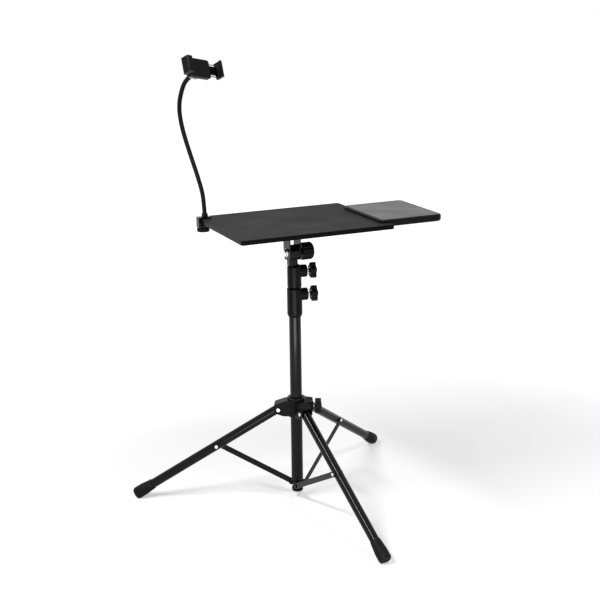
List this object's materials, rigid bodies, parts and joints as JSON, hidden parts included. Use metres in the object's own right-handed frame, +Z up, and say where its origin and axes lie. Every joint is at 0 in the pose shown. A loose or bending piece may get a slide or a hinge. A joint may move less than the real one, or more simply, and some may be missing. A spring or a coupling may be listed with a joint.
{
  "type": "laptop table",
  "caption": "Height-adjustable laptop table on a folding tripod, with a tilting tray, a sliding mouse tray and a phone holder on a gooseneck.",
  "frame": {"origin": "on the floor, on the column's axis", "axes": "+Z up along the column, +X to the right along the tray's long side, +Y away from the user"},
  "size_m": [0.7208, 0.6563, 1.098],
  "materials": {
    "tube_paint": "gloss black powder coat",
    "moulded_black": "moulded, satin gloss",
    "knob_plastic": "moulded, fine texture",
    "zinc": "bright zinc plated",
    "rubber": "matt rubber",
    "neck_sleeve": "smooth sleeve over a bendable core",
    "tray_laminate": "black laminate on fibreboard",
    "edge_band": "edge band",
    "mouse_board": "black foil on fibreboard",
    "mouse_mat": "satin grained",
    "nut_grey": "moulded light grey"
  },
  "bodies": {
    "column": {"lower_tube": "tube_paint", "bottom_plug": "moulded_black", "plug_rivets": "tube_paint", "lower_collar": "moulded_black"},
    "lower_lock": {"lower_lock_knob": "knob_plastic", "lower_lock_screw": "zinc"},
    "middle": {"middle_tube": "tube_paint", "middle_glide": "moulded_black", "upper_collar": "moulded_black"},
    "upper_lock": {"upper_lock_knob": "knob_plastic", "upper_lock_screw": "zinc"},
    "post": {"inner_post": "tube_paint", "post_glide": "moulded_black", "tilt_barrel": "tube_paint"},
    "tray": {"tilt_bracket": "tube_paint", "tilt_bracket_screws": "zinc", "tilt_bolt": "zinc", "tilt_washers": "zinc", "tray_board": "tray_laminate", "tray_edge_trim": "edge_band", "clamp_frame": "tube_paint", "clamp_pad": "rubber", "neck_socket": "tube_paint", "neck_span_1": "neck_sleeve"},
    "tilt_knob": {"tilt_knob": "knob_plastic"},
    "mouse_tray": {"mouse_tray": "mouse_board", "mouse_tray_mat": "mouse_mat", "mouse_clips": "tube_paint", "mouse_clip_screws": "zinc"},
    "clamp_screw": {"clamp_screw": "tube_paint", "clamp_disc": "moulded_black"},
    "neck_2": {"neck_span_2": "neck_sleeve"},
    "neck_3": {"neck_span_3": "neck_sleeve"},
    "neck_4": {"neck_span_4": "neck_sleeve"},
    "ball": {"ball_stud": "zinc"},
    "holder": {"holder_back": "moulded_black", "left_jaw": "moulded_black", "left_jaw_pad": "rubber"},
    "ball_nut": {"ball_nut": "nut_grey"},
    "right_jaw": {"right_jaw": "moulded_black", "right_jaw_pad": "rubber", "jaw_rods": "zinc"},
    "hub": {"hub": "moulded_black", "hub_rivets": "zinc"},
    "hub_lock": {"hub_lock_knob": "knob_plastic", "hub_lock_screw": "zinc"},
    "leg_1": {"leg_1": "tube_paint", "foot_1": "rubber", "leg_rivet_1": "zinc"},
    "brace_1": {"brace_1": "tube_paint"},
    "leg_2": {"leg_2": "tube_paint", "foot_2": "rubber", "leg_rivet_2": "zinc"},
    "brace_2": {"brace_2": "tube_paint"},
    "leg_3": {"leg_3": "tube_paint", "foot_3": "rubber", "leg_rivet_3": "zinc"},
    "brace_3": {"brace_3": "tube_paint"}
  },
  "joints": [
    {"name": "legs_fold", "type": "hinge", "parent": "column", "child": "brace_1", "pos_m": [-0.01401, 0.00662, 0.037], "axis": [0.4274, 0.9041, 0], "range_deg": [0, 49.1]},
    {"name": "brace_1_on_leg_1", "type": "hinge", "parent": "brace_1", "child": "leg_1", "pos_m": [-0.1807, 0.08542, 0.1393], "axis": [-0.4274, -0.9041, 0], "range_deg": [0, 102.12]},
    {"name": "leg_1_on_hub", "type": "hinge", "parent": "leg_1", "child": "hub", "pos_m": [-0.03978, 0.0188, 0.23707], "axis": [0.4274, 0.9041, 0], "range_deg": [0, 53.02]},
    {"name": "leg_2_on_hub", "type": "hinge", "parent": "hub", "child": "leg_2", "pos_m": [0.00361, -0.04385, 0.23707], "axis": [0.9966, 0.0819, 0], "range_deg": [0, 53.02]},
    {"name": "leg_3_on_hub", "type": "hinge", "parent": "hub", "child": "leg_3", "pos_m": [0.03617, 0.02505, 0.23707], "axis": [-0.5693, 0.8221, 0], "range_deg": [0, 53.02]},
    {"name": "brace_2_on_leg_2", "type": "hinge", "parent": "leg_2", "child": "brace_2", "pos_m": [0.01638, -0.1992, 0.1393], "axis": [-0.9966, -0.0819, 0], "range_deg": [0, 102.12]},
    {"name": "brace_3_on_leg_3", "type": "hinge", "parent": "leg_3", "child": "brace_3", "pos_m": [0.16432, 0.11378, 0.1393], "axis": [0.5693, -0.8221, 0], "range_deg": [0, 102.12]},
    {"name": "hub_lock_turn", "type": "hinge", "parent": "hub", "child": "hub_lock", "pos_m": [0.03842, -0.01816, 0.24307], "axis": [0.9041, -0.4274, 0], "continuous": true},
    {"name": "lower_lock_turn", "type": "hinge", "parent": "column", "child": "lower_lock", "pos_m": [0.03111, -0.00661, 0.5272], "axis": [0.9781, -0.2079, 0], "continuous": true},
    {"name": "middle_section_slide", "type": "slide", "parent": "column", "child": "middle", "axis": [0, 0, 1], "range_m": [0, 0.24]},
    {"name": "upper_lock_turn", "type": "hinge", "parent": "middle", "child": "upper_lock", "pos_m": [0.02954, -0.00628, 0.5847], "axis": [0.9781, -0.2079, 0], "continuous": true},
    {"name": "post_slide", "type": "slide", "parent": "middle", "child": "post", "axis": [0, 0, 1], "range_m": [0, 0.24]},
    {"name": "tray_tilt", "type": "hinge", "parent": "post", "child": "tray", "pos_m": [-0.0045, 0, 0.6314], "axis": [1, 0, 0], "range_deg": [-45, 45]},
    {"name": "tilt_knob_turn", "type": "hinge", "parent": "tray", "child": "tilt_knob", "pos_m": [0.0173, 0, 0.6314], "axis": [1, 0, 0], "continuous": true},
    {"name": "mouse_tray_slide", "type": "slide", "parent": "tray", "child": "mouse_tray", "axis": [0, 1, 0], "range_m": [-0.025, 0.075]},
    {"name": "clamp_screw_turn", "type": "hinge", "parent": "tray", "child": "clamp_screw", "pos_m": [-0.183, 0.12, 0.6864], "axis": [0, 0, 1], "continuous": true},
    {"name": "neck_bend_1", "type": "hinge", "parent": "tray", "child": "neck_2", "pos_m": [-0.1828, 0.11795, 0.7689], "axis": [0, 0.9992, 0.0394], "range_deg": [-30, 30]},
    {"name": "neck_bend_2", "type": "hinge", "parent": "neck_2", "child": "neck_3", "pos_m": [-0.2052, 0.11485, 0.8479], "axis": [0.9524, 0, 0.3048], "range_deg": [-30, 30]},
    {"name": "neck_bend_3", "type": "hinge", "parent": "neck_3", "child": "neck_4", "pos_m": [-0.234, 0.11015, 0.9699], "axis": [0, 0.9989, 0.0464], "range_deg": [-30, 30]},
    {"name": "ball_swivel", "type": "hinge", "parent": "neck_4", "child": "ball", "pos_m": [-0.20055, 0.09227, 1.05269], "axis": [0.6181, -0.5165, 0.5927], "range_deg": [-90, 90]},
    {"name": "holder_tilt", "type": "hinge", "parent": "ball", "child": "holder", "pos_m": [-0.20055, 0.09227, 1.05269], "axis": [0.9178, 0.3506, -0.1865], "range_deg": [-15, 15]},
    {"name": "ball_nut_turn", "type": "hinge", "parent": "holder", "child": "ball_nut", "pos_m": [-0.20055, 0.09227, 1.05269], "axis": [0.397, -0.8212, 0.4099], "continuous": true},
    {"name": "jaw_slide", "type": "slide", "parent": "holder", "child": "right_jaw", "axis": [0.9178, 0.3506, -0.1865], "range_m": [-0.021, 0.004]}
  ],
  "couplings": [
    {"joint": "brace_1_on_leg_1", "follows": "legs_fold", "ratio": 2.0794},
    {"joint": "leg_1_on_hub", "follows": "legs_fold", "ratio": 1.0794},
    {"joint": "leg_2_on_hub", "follows": "legs_fold", "ratio": 1.0794},
    {"joint": "leg_3_on_hub", "follows": "legs_fold", "ratio": 1.0794},
    {"joint": "brace_2_on_leg_2", "follows": "legs_fold", "ratio": 2.0794},
    {"joint": "brace_3_on_leg_3", "follows": "legs_fold", "ratio": 2.0794}
  ]
}
